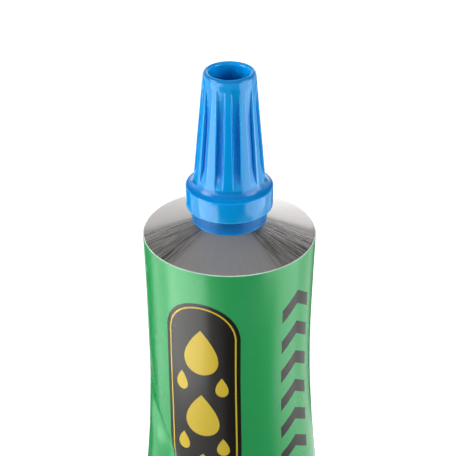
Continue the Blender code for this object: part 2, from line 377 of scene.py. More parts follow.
def unroll(mesh, rings):
    """Gives a loft its UV map: shares of the way round its loops, and of the way along them."""
    sides = len(rings[0])
    along = path_lengths(rings)
    shares = [girth_shares(loop) for loop in rings]
    corners = []
    for level in range(len(rings) - 1):
        upper, lower = along[level] / along[-1], along[level + 1] / along[-1]
        here, below = shares[level], shares[level + 1]
        for side in range(sides):
            corners += [here[side], upper, below[side], lower]
            corners += [below[side + 1], lower, here[side + 1], upper]
    for end, level in ((0.0, 0), (1.0, -1)):
        for side in range(sides):
            corners += [0.5, end, shares[level][side], end, shares[level][side + 1], end]
    mesh.uv_layers.new(name="unrolled").data.foreach_set("uv", corners)


def add_object(name, data):
    """Puts a mesh, a lamp or a camera in the scene."""
    added = bpy.data.objects.new(name, data)
    bpy.context.collection.objects.link(added)
    return added


def skin(name, rings):
    """A closed mesh over loops of equally many points. A fan round the middle of the first loop and of the
    last one closes its ends."""
    sides = len(rings[0])
    points = [point for loop in rings for point in loop]
    faces = []
    for level in range(len(rings) - 1):
        here, below = level * sides, (level + 1) * sides
        for side in range(sides):
            after = (side + 1) % sides
            faces.append((here + side, below + side, below + after, here + after))
    for loop, first in ((rings[0], 0), (rings[-1], (len(rings) - 1) * sides)):
        middle = len(points)
        points.append(tuple(sum(point[axis] for point in loop) / sides for axis in range(3)))
        for side in range(sides):
            edge = (first + side, first + (side + 1) % sides)
            faces.append((middle, *edge) if first == 0 else (middle, *edge[::-1]))
    mesh = bpy.data.meshes.new(name)
    mesh.from_pydata(points, [], faces)
    unroll(mesh, rings)
    mesh.shade_smooth()
    mesh.set_sharp_from_angle(angle=SHARP_ANGLE)
    mesh.validate()
    return add_object(name, mesh)


def paint_bands(piece, bands):
    """Gives each run of the tube's rings its material. A band is (material, number of its first ring)."""
    for material, _ in bands:
        piece.data.materials.append(material)
    chosen = []
    for face in range(len(piece.data.polygons)):
        level = face // SIDES
        chosen.append(max(number for number, (_, start) in enumerate(bands) if level >= start))
    piece.data.polygons.foreach_set("material_index", chosen)


def set_inputs(tree, made, inputs):
    """Gives a node's inputs, each by its name or number, a plain value or another node's output."""
    for socket, value in inputs.items():
        if isinstance(value, bpy.types.NodeSocket):
            tree.links.new(value, made.inputs[socket])
        else:
            made.inputs[socket].default_value = value


def node(tree, kind, inputs=None, **settings):
    """Adds a node with these settings and inputs."""
    made = tree.nodes.new(kind)
    for name, value in settings.items():
        setattr(made, name, value)
    set_inputs(tree, made, inputs or {})
    return made


def sums(tree, operation, *values):
    """The result of one Math node."""
    return node(tree, "ShaderNodeMath", dict(enumerate(values)), operation=operation).outputs[0]


def vectors(tree, operation, result, *values):
    """The result of one Vector Math node, which is its Vector or its Value."""
    inputs = dict(enumerate(values))
    return node(tree, "ShaderNodeVectorMath", inputs, operation=operation).outputs[result]


def blend_colour(tree, share, one, other):
    """One colour where share is 0 and the other where it is 1."""
    mix = node(tree, "ShaderNodeMix", data_type="RGBA")
    number = {socket.identifier: place for place, socket in enumerate(mix.inputs)}
    inputs = {number["Factor_Float"]: share, number["A_Color"]: one, number["B_Color"]: other}
    set_inputs(tree, mix, inputs)
    return next(socket for socket in mix.outputs if socket.identifier == "Result_Color")


def spread(tree, value, low, high):
    """A value from 0 to 1 stretched to run from low to high."""
    return node(tree, "ShaderNodeMapRange", {"Value": value, "To Min": low, "To Max": high}).outputs[0]


def ramp(tree, value, start, end, low, high):
    """A number that goes smoothly from low to high while value goes from start to end."""
    inputs = {"Value": value, "From Min": start, "From Max": end, "To Min": low, "To Max": high}
    return node(tree, "ShaderNodeMapRange", inputs, interpolation_type="SMOOTHSTEP").outputs[0]


def wrapped(tree, value, pitch):
    """A value brought within half a pitch of 0 by whole pitches, so that a pattern repeats."""
    return sums(tree, "WRAP", value, pitch / 2, -pitch / 2)


def relief(tree, height, strength, depth):
    """The normal of a surface with these heights on it, drawn at this strength and depth."""
    inputs = {"Strength": strength, "Distance": depth, "Height": height}
    return node(tree, "ShaderNodeBump", inputs).outputs[0]


def object_place(tree):
    """Where a point of the surface lies."""
    return node(tree, "ShaderNodeTexCoord").outputs["Object"]


def flattened(tree):
    """The X, Y and Z of where a point of the surface lies, and that place with its height left out."""
    split = node(tree, "ShaderNodeSeparateXYZ", {0: object_place(tree)}).outputs
    return split, node(tree, "ShaderNodeCombineXYZ", {0: split[0], 1: split[1]}).outputs[0]


def new_material(name):
    """A material with its tree and its Principled shader."""
    material = bpy.data.materials.new(name)
    material.use_nodes = True
    return material, material.node_tree, material.node_tree.nodes["Principled BSDF"]


def new_group(name, inputs, outputs):
    """An empty node group with these sockets, what it is given, and the node that takes its results."""
    group = bpy.data.node_groups.new(name, "ShaderNodeTree")
    for socket, kind in inputs:
        group.interface.new_socket(name=socket, in_out="INPUT", socket_type=kind)
    for socket, kind in outputs:
        group.interface.new_socket(name=socket, in_out="OUTPUT", socket_type=kind)
    return group, group.nodes.new("NodeGroupInput").outputs, group.nodes.new("NodeGroupOutput")


GRAIN_FINE_DETAIL = 2.0
GRAIN_BROAD_DETAIL = 3.0
GRAIN_FINE_HEIGHT = 0.3


def make_grain_group():
    """Fine grain and broad cloudiness at a place, each from 0 to 1, and their mix as a height."""
    group, given, result = new_group(
        "surface_grain",
        [("Place", "NodeSocketVector"), ("Fine", "NodeSocketFloat"), ("Broad", "NodeSocketFloat")],
        [("Fine", "NodeSocketFloat"), ("Broad", "NodeSocketFloat"), ("Height", "NodeSocketFloat")],
    )
    grains = {}
    for name, detail in (("Fine", GRAIN_FINE_DETAIL), ("Broad", GRAIN_BROAD_DETAIL)):
        inputs = {"Vector": given["Place"], "Scale": given[name], "Detail": detail}
        grains[name] = node(group, "ShaderNodeTexNoise", inputs).outputs["Fac"]
    height = sums(group, "MULTIPLY_ADD", grains["Fine"], GRAIN_FINE_HEIGHT, grains["Broad"])
    set_inputs(group, result, {**grains, "Height": height})
    return group


surface_grain = make_grain_group()


def grain_on(tree, fine, broad):
    """Fine, Broad and Height of the surface's grain, at these numbers of grains to the metre."""
    inputs = {"Place": object_place(tree), "Fine": fine, "Broad": broad}
    return node(tree, "ShaderNodeGroup", inputs, node_tree=surface_grain).outputs


def grained(name, colours, scales, roughness, metallic=0.0, bumps=None):
    """A finish that is even but for its grain, the broad one in its colour and the fine one in its polish.
    Where bumps give a strength and a depth, both show in its relief too."""
    material, tree, shader = new_material(name)
    grain = grain_on(tree, *scales)
    finish = {
        "Base Color": blend_colour(tree, grain["Broad"], *colours),
        "Roughness": spread(tree, grain["Fine"], *roughness),
        "Metallic": metallic,
    }
    if bumps:
        finish["Normal"] = relief(tree, grain["Height"], *bumps)
    set_inputs(tree, shader, finish)
    return material


LACQUER_GREEN = (0.028, 0.375, 0.108, 1)
LACQUER_SHADE = (0.023, 0.33, 0.092, 1)
LACQUER_GRAIN = (5200.0, 160.0)
LACQUER_ROUGHNESS = (0.22, 0.3)
LACQUER_RELIEF = (0.08, 0.00004)
LACQUER_IOR = 1.27
VARNISH = 0.15
VARNISH_ROUGHNESS = 0.25
PRINT_CHARCOAL = (0.012, 0.011, 0.009, 1)
PRINT_YELLOW = (0.64, 0.47, 0.035, 1)
RIM_LINE_PALE = (0.62, 0.76, 0.64, 1)
RIM_LINE_WIDTH = 0.00014

PANEL_MIDDLE = -0.0042
PANEL_HALF_WIDTH = 0.0058
PANEL_TOP = 0.005
PANEL_BOTTOM = 0.0774
KEYLINE_INSET = 0.0007
KEYLINE_HALF = 0.00012
DROP_PITCH = 0.0112
DROP_START = 0.0132
DROP_HEIGHT = 0.0076
DROP_WIDTH = 0.0052
DROP_REACH = 0.65
DROP_FULLNESS = 0.5
DROPS_PAST_STRAIGHT = 0.00145
SIDE_DROP_OFFSET = 0.0031
SIDE_DROP_HEIGHT = 0.0033
SIDE_DROP_WIDTH = 0.0019
CHEVRON_MIDDLE = 0.0112
CHEVRON_HALF_WIDTH = 0.0031
CHEVRON_TOP = 0.0042
CHEVRON_BOTTOM = 0.0754
CHEVRON_PITCH = 0.0052
CHEVRON_THICKNESS = 0.0022
CHEVRON_SLOPE = 0.7


def make_drop_group():
    """Mask of an upright drop round the point where Across and Down are 0, pointed at its top."""
    group, given, result = new_group(
        "printed_drop",
        [(name, "NodeSocketFloat") for name in ("Across", "Down", "Width", "Height")],
        [("Mask", "NodeSocketFloat")],
    )
    up = sums(group, "DIVIDE", given["Down"], sums(group, "MULTIPLY", given["Height"], -0.5))
    round_part = sums(group, "SUBTRACT", 1.0, sums(group, "MULTIPLY", up, up))
    taper = sums(group, "MAXIMUM", sums(group, "SUBTRACT", 1.0, up), 0.0)
    reach = sums(group, "MULTIPLY", given["Width"], DROP_REACH)
    across = sums(group, "DIVIDE", given["Across"], reach)
    limit = sums(group, "MULTIPLY", sums(group, "MULTIPLY", round_part, taper), DROP_FULLNESS)
    inside = sums(group, "LESS_THAN", sums(group, "MULTIPLY", across, across), limit)
    set_inputs(group, result, {"Mask": inside})
    return group


printed_drop = make_drop_group()


def drop_row(tree, across, down, start, width, height):
    """Mask of a row of drops, one pitch apart. The first one's middle is at this depth below the rim."""
    from_drop = wrapped(tree, sums(tree, "SUBTRACT", down, start), DROP_PITCH)
    inputs = {"Across": across, "Down": from_drop, "Width": width, "Height": height}
    return node(tree, "ShaderNodeGroup", inputs, node_tree=printed_drop).outputs["Mask"]


def panel_masks(tree, across, down):
    """Masks of the panel with its round ends, and of the drops and the line on it."""
    panel_middle = (PANEL_TOP + PANEL_BOTTOM) / 2
    straight = (PANEL_BOTTOM - PANEL_TOP) / 2 - PANEL_HALF_WIDTH
    from_middle = sums(tree, "ABSOLUTE", sums(tree, "SUBTRACT", down, panel_middle))
    past_straight = sums(tree, "MAXIMUM", sums(tree, "SUBTRACT", from_middle, straight), 0.0)
    aside = sums(tree, "ABSOLUTE", across)
    squares = [sums(tree, "POWER", length, 2.0) for length in (aside, past_straight)]
    out = sums(tree, "SQRT", sums(tree, "ADD", *squares))
    panel = sums(tree, "LESS_THAN", out, PANEL_HALF_WIDTH)
    keyline = sums(tree, "COMPARE", out, PANEL_HALF_WIDTH - KEYLINE_INSET, KEYLINE_HALF)
    beside = sums(tree, "SUBTRACT", aside, SIDE_DROP_OFFSET)
    side_start = DROP_START + DROP_PITCH / 2
    big = drop_row(tree, across, down, DROP_START, DROP_WIDTH, DROP_HEIGHT)
    small = drop_row(tree, beside, down, side_start, SIDE_DROP_WIDTH, SIDE_DROP_HEIGHT)
    with_drops = sums(tree, "LESS_THAN", past_straight, DROPS_PAST_STRAIGHT)
    drops = sums(tree, "MULTIPLY", sums(tree, "MAXIMUM", big, small), with_drops)
    return panel, sums(tree, "MULTIPLY", sums(tree, "MAXIMUM", drops, keyline), panel)


def chevron_mask(tree, across, down):
    """Mask of the column of chevrons."""
    aside = sums(tree, "ABSOLUTE", sums(tree, "SUBTRACT", across, CHEVRON_MIDDLE))
    climb = sums(tree, "MULTIPLY_ADD", aside, -CHEVRON_SLOPE, down)
    stripe = sums(tree, "LESS_THAN", sums(tree, "WRAP", climb, CHEVRON_PITCH, 0.0), CHEVRON_THICKNESS)
    in_column = sums(tree, "LESS_THAN", aside, CHEVRON_HALF_WIDTH)
    column_middle = (CHEVRON_TOP + CHEVRON_BOTTOM) / 2
    in_rows = sums(tree, "COMPARE", climb, column_middle, column_middle - CHEVRON_TOP)
    return sums(tree, "MULTIPLY", stripe, sums(tree, "MULTIPLY", in_column, in_rows))


def printed_lacquer(length, rim_at):
    """Satin green lacquer, printed with the panel and the chevrons twice round the tube. Length is that of
    the whole loft, and the rim lies at this place along it."""
    material, tree, shader = new_material("printed_green_lacquer")
    unrolled = node(tree, "ShaderNodeUVMap", uv_map="unrolled").outputs[0]
    split = node(tree, "ShaderNodeSeparateXYZ", {0: unrolled}).outputs
    from_front = sums(tree, "MULTIPLY", sums(tree, "SUBTRACT", split[0], 0.5), girth)
    across = wrapped(tree, from_front, girth / 2)
    down = sums(tree, "MULTIPLY_ADD", split[1], length, -rim_at)
    panel, yellow = panel_masks(tree, sums(tree, "SUBTRACT", across, PANEL_MIDDLE), down)
    charcoal = sums(tree, "MAXIMUM", panel, chevron_mask(tree, across, down))
    # A pale line along the lacquer's top edge, where it meets the rim.
    edge = sums(tree, "LESS_THAN", down, RIM_LINE_WIDTH)
    grain = grain_on(tree, *LACQUER_GRAIN)
    colour = blend_colour(tree, grain["Fine"], LACQUER_SHADE, LACQUER_GREEN)
    for mask, ink in ((charcoal, PRINT_CHARCOAL), (yellow, PRINT_YELLOW), (edge, RIM_LINE_PALE)):
        colour = blend_colour(tree, mask, colour, ink)
    inked = sums(tree, "MAXIMUM", charcoal, yellow)
    finish = {
        "Base Color": colour,
        "Roughness": spread(tree, grain["Broad"], *LACQUER_ROUGHNESS),
        "Normal": relief(tree, grain["Height"], *LACQUER_RELIEF),
        "Coat Weight": spread(tree, inked, VARNISH, 0.0),
        "Coat Roughness": VARNISH_ROUGHNESS,
        "IOR": LACQUER_IOR,
    }
    set_inputs(tree, shader, finish)
    return material


BLACK = (0, 0, 0, 1)
ALUMINIUM_TINT = (1.0, 0.94, 0.895, 1)
ALUMINIUM_TONE = 0.33
ALUMINIUM_DARK = 0.06
ALUMINIUM_LIGHT = 0.3
ALUMINIUM_GRAIN = (4000.0, 300.0)
ALUMINIUM_ROUGHNESS = (0.08, 0.16)
ALUMINIUM_FRONT_DULL = 0.3
ALUMINIUM_METALLIC = 0.4
# The streak settings below also set where painted shade darkens the metal.
STREAK_AND_SHADE_BACK = (0.06, 0.998, 0)
STREAK_AND_SHADE_MIDDLE = -0.44
STREAK_AND_SHADE_FULL = 0.24
STREAK_AND_SHADE_GONE = 0.44
STREAK_AND_SHADE_FAINTEST = 0.1
STREAK_WANDER = 3.0
STREAK_NOISE = {"Scale": 70.0, "Detail": 4.0, "Roughness": 0.66}
STREAK_LEVELS = (0.41, 0.59)
STREAK_RELIEF = (1.0, 0.00007)


def bare_aluminium():
    """Metal with the streaks that run out from the neck, where it flowed under the punch. As painted shade,
    the streaks darken it most in two sectors beside the front, where the shoulder's reflection is dark.
    """
    material, tree, shader = new_material("bare_aluminium")
    _, flat = flattened(tree)
    heading = vectors(tree, "NORMALIZE", "Vector", flat)
    reach = vectors(tree, "LENGTH", "Value", flat)
    outward = node(tree, "ShaderNodeCombineXYZ", {2: sums(tree, "MULTIPLY", reach, STREAK_WANDER)})
    along = vectors(tree, "ADD", "Vector", heading, outward.outputs[0])
    streaks = node(tree, "ShaderNodeTexNoise", {"Vector": along, **STREAK_NOISE}).outputs["Fac"]
    # Painted shade: how strongly the streaks darken the metal depends on the bearing, most in two sectors
    # beside the front.
    to_back = vectors(tree, "DOT_PRODUCT", "Value", heading, STREAK_AND_SHADE_BACK)
    off_middle = sums(tree, "ABSOLUTE", sums(tree, "SUBTRACT", to_back, STREAK_AND_SHADE_MIDDLE))
    strength = ramp(tree, off_middle, STREAK_AND_SHADE_FULL, STREAK_AND_SHADE_GONE, 1.0, STREAK_AND_SHADE_FAINTEST)
    streaky = ramp(tree, streaks, *STREAK_LEVELS, ALUMINIUM_DARK, ALUMINIUM_LIGHT)
    off_tone = sums(tree, "SUBTRACT", streaky, ALUMINIUM_TONE)
    tone = sums(tree, "MULTIPLY_ADD", off_tone, strength, ALUMINIUM_TONE)
    front_end = STREAK_AND_SHADE_MIDDLE - STREAK_AND_SHADE_GONE
    front = ramp(tree, to_back, front_end, STREAK_AND_SHADE_MIDDLE - STREAK_AND_SHADE_FULL, ALUMINIUM_FRONT_DULL, 0.0)
    polish = spread(tree, grain_on(tree, *ALUMINIUM_GRAIN)["Broad"], *ALUMINIUM_ROUGHNESS)
    finish = {
        "Base Color": blend_colour(tree, tone, BLACK, ALUMINIUM_TINT),
        "Roughness": sums(tree, "ADD", polish, front),
        "Normal": relief(tree, sums(tree, "MULTIPLY", streaks, strength), *STREAK_RELIEF),
        "Metallic": ALUMINIUM_METALLIC,
    }
    set_inputs(tree, shader, finish)
    return material


GOLD_COLOURS = ((0.55, 0.36, 0.1, 1), (0.68, 0.47, 0.16, 1))
GOLD_GRAIN = (2500.0, 200.0)
GOLD_ROUGHNESS = (0.25, 0.4)
GOLD_METALLIC = 0.7

inside = inside_rings()
head = turned(nozzle_profile()) + neck_rings() + turned(shoulder_profile())
tube_rings = inside + head + turned(rim_profile()) + sleeve_rings() + tail_rings()
lacquer_start = len(inside) + len(head)
tube_path = path_lengths(tube_rings)

inner_coat = grained("gold_inner_coat", GOLD_COLOURS, GOLD_GRAIN, GOLD_ROUGHNESS, GOLD_METALLIC)
tube_shell = skin("tube_shell", tube_rings)
paint_bands(
    tube_shell,
    [
        (inner_coat, 0),
        (bare_aluminium(), len(inside)),
        (printed_lacquer(tube_path[-1], tube_path[lacquer_start]), lacquer_start),
    ],
)
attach(tube_shell, "tube")
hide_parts("tube_body")

# Membrane: a skin of aluminium foil across the nozzle's mouth that keeps the glue in until the first use.
# It sits on a ledge just inside the lip, slightly dished, until the spike in the cap breaks it.

FOIL_THICKNESS = 0.00015
FOIL_GAP = 0.00005
FOIL_DISH = 0.00004
FOIL_ROUND = 0.00003
FOIL_SHARES = (0.02, 0.25, 0.5, 0.7, 0.85, 0.95)
DISC_SIDES = 96
FOIL_GREYS = ((0.72, 0.72, 0.73, 1), (0.84, 0.84, 0.85, 1))
FOIL_GRAIN = (9000.0, 1500.0)
FOIL_ROUGHNESS = (0.18, 0.34)
FOIL_RELIEF = (0.3, 0.00003)

foil_radius = mouth_radius - FOIL_GAP
foil_bottom = nozzle_tip - LEDGE_DEPTH + FOIL_GAP
foil_top = foil_bottom + FOIL_THICKNESS


def dished(share):
    """How far the foil's middle sags at this share of its radius."""
    return FOIL_DISH * (1 - share**2)


def foil_rings():
    """The disc from the middle of its dished top round the edge to the middle of its flat underside."""
    upper = [(foil_radius * share, foil_top - dished(share)) for share in FOIL_SHARES]
    edge = [
        (foil_radius - FOIL_ROUND, foil_top),
        (foil_radius, foil_top - FOIL_ROUND),
        (foil_radius, foil_bottom + FOIL_ROUND),
        (foil_radius - FOIL_ROUND, foil_bottom),
    ]
    lower = [(foil_radius * share, foil_bottom) for share in FOIL_SHARES[::-1]]
    return turned(upper + edge + lower, DISC_SIDES)


foil_finish = grained("mouth_foil", FOIL_GREYS, FOIL_GRAIN, FOIL_ROUGHNESS, metallic=1.0, bumps=FOIL_RELIEF)
mouth_foil = skin("mouth_foil", foil_rings())
mouth_foil.data.materials.append(foil_finish)
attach(mouth_foil, "tube")
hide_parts("neck_membrane")

# Glue: a clear, straw-coloured gel that fills the tube from the latex band up into the nozzle. It is drawn
# as one body that keeps just clear of the wall.

WALL_GAP = 0.0003
SEAL_HEIGHT = 0.004
GEL_COLOURS = ((0.78, 0.7, 0.46, 1), (0.88, 0.83, 0.66, 1))
GEL_GRAIN = (1800.0, 120.0)
GEL_ROUGHNESS = (0.08, 0.2)
GEL_TRANSMISSION = 0.6
GEL_IOR = 1.42
BUBBLE_SCALE = 700.0
BUBBLE_RELIEF = (0.2, 0.0001)

seal_foot = cavity_length - WALL_GAP
seal_top = seal_foot - SEAL_HEIGHT


def glue_rings():
    """The gel from the spout down to just above the latex band."""
    profile = cavity_profile(nozzle_tip - LEDGE_DEPTH - WALL_GAP, WALL_GAP)
    levels = steps_between(-profile[-1][1], seal_top - WALL_GAP, SLEEVE_STEP)
    return turned(profile) + [sleeve_ring(level, TUBE_WALL + WALL_GAP) for level in levels[1:]]


def cells_on(tree, scale):
    """Distance from the middle of small round cells, this many of them to the metre."""
    inputs = {"Vector": object_place(tree), "Scale": scale}
    return node(tree, "ShaderNodeTexVoronoi", inputs).outputs["Distance"]


def glue_finish():
    """Clear gel with small air bubbles caught in it."""
    material, tree, shader = new_material("straw_gel")
    bubbles = cells_on(tree, BUBBLE_SCALE)
    finish = {
        "Base Color": blend_colour(tree, grain_on(tree, *GEL_GRAIN)["Broad"], *GEL_COLOURS),
        "Roughness": spread(tree, bubbles, *GEL_ROUGHNESS),
        "Normal": relief(tree, bubbles, *BUBBLE_RELIEF),
        "Transmission Weight": GEL_TRANSMISSION,
        "IOR": GEL_IOR,
    }
    set_inputs(tree, shader, finish)
    return material


glue_body = skin("glue_body", glue_rings())
glue_body.data.materials.append(glue_finish())
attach(glue_body, "tube")
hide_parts("gel_fill")

# Latex band: a film of latex sprayed inside the open end before filling, which sets tacky and makes the
# fold tight. It is gathered here into one band just above the fold.

BAND_STEPS = 12
BAND_GAP = 0.00015
BAND_WAVE = 0.00004
BAND_WAVES = 9
BAND_FADE = 0.001
LATEX_TANS = ((0.6, 0.41, 0.21, 1), (0.76, 0.57, 0.34, 1))
LATEX_GRAIN = (3500.0, 500.0)
LATEX_ROUGHNESS = (0.5, 0.7)
LATEX_RELIEF = (0.4, 0.0001)


def band_rings():
    """The band from its top down. Its loops are wavy, apart from the first and the last."""
    rings = []
    for level in steps_between(seal_top, seal_foot, SEAL_HEIGHT / BAND_STEPS):
        inner = clamped(min(level - seal_top, seal_foot - level) / BAND_FADE)
        points = sleeve_ring(level, TUBE_WALL + BAND_GAP)
        waves = [BAND_WAVE * math.cos(BAND_WAVES * bearing(side)) for side in range(SIDES)]
        rings.append([(x, y, z + wave * inner) for (x, y, z), wave in zip(points, waves)])
    return rings


latex_finish = grained("tan_latex", LATEX_TANS, LATEX_GRAIN, LATEX_ROUGHNESS, bumps=LATEX_RELIEF)
latex_band = skin("latex_band", band_rings())
latex_band.data.materials.append(latex_finish)
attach(latex_band, "tube")
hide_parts("end_seal")

# Sealing wad: a punched disc of foamed polyethylene, pressed up under the web inside the cap. The nozzle's
# lip leaves a ring in its lower face.

WAD_THICKNESS = 0.001
WAD_EDGE = 0.00008
WAD_ROOM = 0.0003
LIP_DENT = 0.00008
LIP_DENT_HALF = 0.0003
NOZZLE_CLEARANCE = 0.0003
NOZZLE_ROOM = 0.0007
WAD_STEP = 0.00008
FOAM_WHITES = ((0.84, 0.84, 0.82, 1), (0.7, 0.7, 0.68, 1))
FOAM_ROUGHNESS = (0.6, 0.8)
CELL_SCALE = 6000.0
CELL_RELIEF = (0.5, 0.00006)

well_radius = nozzle_foot_radius + NOZZLE_ROOM
wad_radius = well_radius - WAD_ROOM
wad_bottom = nozzle_tip + NOZZLE_CLEARANCE
wad_top = wad_bottom + WAD_THICKNESS


def lip_dent(radius):
    """Depth of the ring that the nozzle's lip has pressed into the wad."""
    lip_middle = (mouth_radius + tip_radius) / 2
    off = clamped(abs(radius - lip_middle) / LIP_DENT_HALF)
    return LIP_DENT * (1 - off**2) ** 2


def wad_rings():
    """The disc from the middle of its top round the edge to the middle of its dented underside."""
    radii = steps_between(WAD_STEP, wad_radius - WAD_EDGE, WAD_STEP)
    lower = [(radius, wad_bottom + lip_dent(radius)) for radius in radii]
    edge = [(wad_radius, wad_bottom + WAD_EDGE), (wad_radius, wad_top - WAD_EDGE)]
    upper = [(wad_radius - WAD_EDGE, wad_top), (WAD_STEP, wad_top)]
    return turned((lower + edge + upper)[::-1], DISC_SIDES)


def foam_finish():
    """White closed-cell foam."""
    material, tree, shader = new_material("white_foam")
    cells = cells_on(tree, CELL_SCALE)
    finish = {
        "Base Color": blend_colour(tree, cells, *FOAM_WHITES),
        "Roughness": spread(tree, cells, *FOAM_ROUGHNESS),
        "Normal": relief(tree, cells, *CELL_RELIEF),
    }
    set_inputs(tree, shader, finish)
    return material


sealing_wad = skin("sealing_wad", wad_rings())
sealing_wad.data.materials.append(foam_finish())
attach(sealing_wad, "liner")
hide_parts("cap_liner")

# Cap: one moulding of blue polypropylene. Twelve flutes round its cone give the fingers grip, a skirt with
# the thread goes over the neck, and turned over, the spike in its top breaks the membrane.

CAP_WALL = 0.00076
SKIRT_EDGE = 0.00015
FLANGE_LIP = 0.00082
FLANGE_HEIGHT = 0.0033
FLANGE_TOP_ROUND = 0.00025
FLANGE_EDGE = 0.0002
FOOT_COVER = 0.0011
FOOT_HEIGHT = 0.00115
FOOT_INSET = 0.00034
WEB_THICKNESS = 0.0015
WAD_GAP = 0.0001
RECESS_ROOM = 0.00035
RECESS_DEPTH = 0.0094
RECESS_FLOOR_ROUND = 0.0004
CAP_RIM_WALL = 0.00077
SPIKE_RADIUS = 0.001
SPIKE_DEPTH = 0.0042
SPIKE_POINT = 0.00006
CAP_CLEARANCE = 0.0003
SKIRT_CLEARANCE = 0.00012
BETWEEN_TURNS = 0.5

FLUTE_COUNT = 12
FLUTE_WIDTH = 0.00127
FLUTE_DEPTH = 0.00055
FLUTE_SQUARENESS = 8
FLUTE_EDGE = 0.06
FLUTE_FOOT_MARGIN = 0.0002
FLUTE_TOP_MARGIN = 0.0014
FLUTE_FOOT_RUN_OUT = 0.003
FLUTE_TOP_RUN_OUT = 0.006
FLUTE_PHASE = math.radians(-77.5)
FLUTE_SHARES = (0.0, 0.25, 0.45, 0.6, 0.7, 0.78, 0.85, 0.9, 0.94, 0.97, 1.0, 1.03, 1.07, 1.14)
WIDEST_FLUTE = 0.95

LAND_POINTS = 5
CONE_STEP = 0.00025
RECESS_STEPS = 8
WEB_RING = 0.0004

flute_pitch = 2 * math.pi / FLUTE_COUNT
thread_bore = NECK_RADIUS + THREAD_HEIGHT + CAP_CLEARANCE
skirt_radius = thread_bore + CAP_WALL
flange_radius = skirt_radius + FLANGE_LIP
foot_radius = skirt_radius - FOOT_INSET
recess_radius = nozzle_foot_radius + RECESS_ROOM
cap_rim_radius = recess_radius + CAP_RIM_WALL
cap_rim_round = CAP_RIM_WALL / 2
skirt_bottom = shoulder_height(skirt_radius) + SKIRT_CLEARANCE
thread_top = neck_top + CAP_CLEARANCE
cone_foot = thread_top + FOOT_COVER
flange_top = cone_foot - FOOT_HEIGHT
flange_bottom = flange_top - FLANGE_HEIGHT
web_bottom = wad_top + WAD_GAP
recess_floor = web_bottom + WEB_THICKNESS
cap_top = recess_floor + RECESS_DEPTH
cap_rim_foot = cap_top - cap_rim_round
spike_tip = cap_top - SPIKE_DEPTH
flute_foot = cone_foot + FLUTE_FOOT_MARGIN
flute_top = cap_top - FLUTE_TOP_MARGIN


def flute_run(height):
    """Share of a flute's full depth at this height: it fades out at the cone's foot and towards the rim."""
    rise = (height - flute_foot) / FLUTE_FOOT_RUN_OUT
    fall = (flute_top - height) / FLUTE_TOP_RUN_OUT
    share = clamped(min(rise, fall))
    return share * (2 - share)


def flute_hollow(across):
    """Share of the flute's depth at this share of its half width: flat floor, steep walls, round edges."""
    inside_edge = 1 - across**FLUTE_SQUARENESS
    rounded = (inside_edge + math.sqrt(inside_edge**2 + FLUTE_EDGE**2)) / 2
    return rounded - (math.sqrt(1 + FLUTE_EDGE**2) - 1) / 2


def flute_bearings(radius):
    """(Angle, share of the half width) of each point round the cap: close together at the flutes' edges.
    The share is None on the lands between the flutes."""
    outermost = FLUTE_SHARES[-1]
    half_angle = min(FLUTE_WIDTH / 2 / radius, WIDEST_FLUTE * flute_pitch / 2 / outermost)
    shares = [-share for share in FLUTE_SHARES[:0:-1]] + list(FLUTE_SHARES)
    land = flute_pitch - 2 * outermost * half_angle
    points = []
    for flute in range(FLUTE_COUNT):
        middle = FLUTE_PHASE + flute_pitch * flute
        points += [(middle + share * half_angle, share) for share in shares]
        last = middle + outermost * half_angle
        points += [(last + land * step / (LAND_POINTS + 1), None) for step in range(1, LAND_POINTS + 1)]
    return points


def cap_ring(radius, height, run=0.0):
    """One loop round the cap, with flutes of this share of their full depth."""
    points = []
    for angle, share in flute_bearings(max(radius, cap_rim_radius)):
        hollow = FLUTE_DEPTH * run * flute_hollow(share) if share is not None else 0.0
        points.append(on_circle(angle, radius - hollow, height))
    return points


def bore_ring(height):
    """One loop round the threaded bore, whose ridge runs between the turns of the neck's thread."""
    points = []
    for angle, _ in flute_bearings(thread_bore):
        ridge = THREAD_HEIGHT * thread_rise(angle, height, BETWEEN_TURNS)
        points.append(on_circle(angle, thread_bore - ridge, height))
    return points


def cone_radius(height):
    """Radius of the cone's lands at this height."""
    share = (height - cone_foot) / (cap_top - cone_foot)
    return foot_radius + (cap_rim_radius - foot_radius) * share


def skirt_profile():
    """Outside of the cap from the skirt's inner edge, which follows the shoulder, up over the flange and
    round the hollow above it to the foot of the cone."""
    inner_edge = thread_bore + SKIRT_EDGE
    flange_shelf = flange_radius - FLANGE_TOP_ROUND
    foot_reach = flange_shelf - foot_radius
    hollow = []
    for angle in evenly(0, QUARTER_TURN, ARC_STEPS)[1:]:
        radius = flange_shelf - foot_reach * math.sin(angle)
        hollow.append((radius, cone_foot - FOOT_HEIGHT * math.cos(angle)))
    return [
        (inner_edge, shoulder_height(inner_edge) + SKIRT_CLEARANCE),
        *arc(skirt_radius - SKIRT_EDGE, skirt_bottom + SKIRT_EDGE, SKIRT_EDGE, -QUARTER_TURN, 0),
        (skirt_radius, flange_bottom),
        *arc(flange_radius - FLANGE_EDGE, flange_bottom + FLANGE_EDGE, FLANGE_EDGE, -QUARTER_TURN, 0),
        *arc(flange_shelf, flange_top - FLANGE_TOP_ROUND, FLANGE_TOP_ROUND, 0, QUARTER_TURN),
        *hollow,
    ]


def recess_profile():
    """The cap's rim, the wall and floor of its recess, and the spike up to its point."""
    wall = steps_between(cap_rim_foot, recess_floor, RECESS_DEPTH / RECESS_STEPS)[1:-1]
    floor_round = (recess_radius - RECESS_FLOOR_ROUND, recess_floor + RECESS_FLOOR_ROUND)
    return [
        *arc(recess_radius + cap_rim_round, cap_rim_foot, cap_rim_round, 0, math.pi),
        *[(recess_radius, height) for height in wall],
        *arc(*floor_round, RECESS_FLOOR_ROUND, 0, -QUARTER_TURN),
        (SPIKE_RADIUS, recess_floor),
        (SPIKE_POINT, spike_tip),
    ]


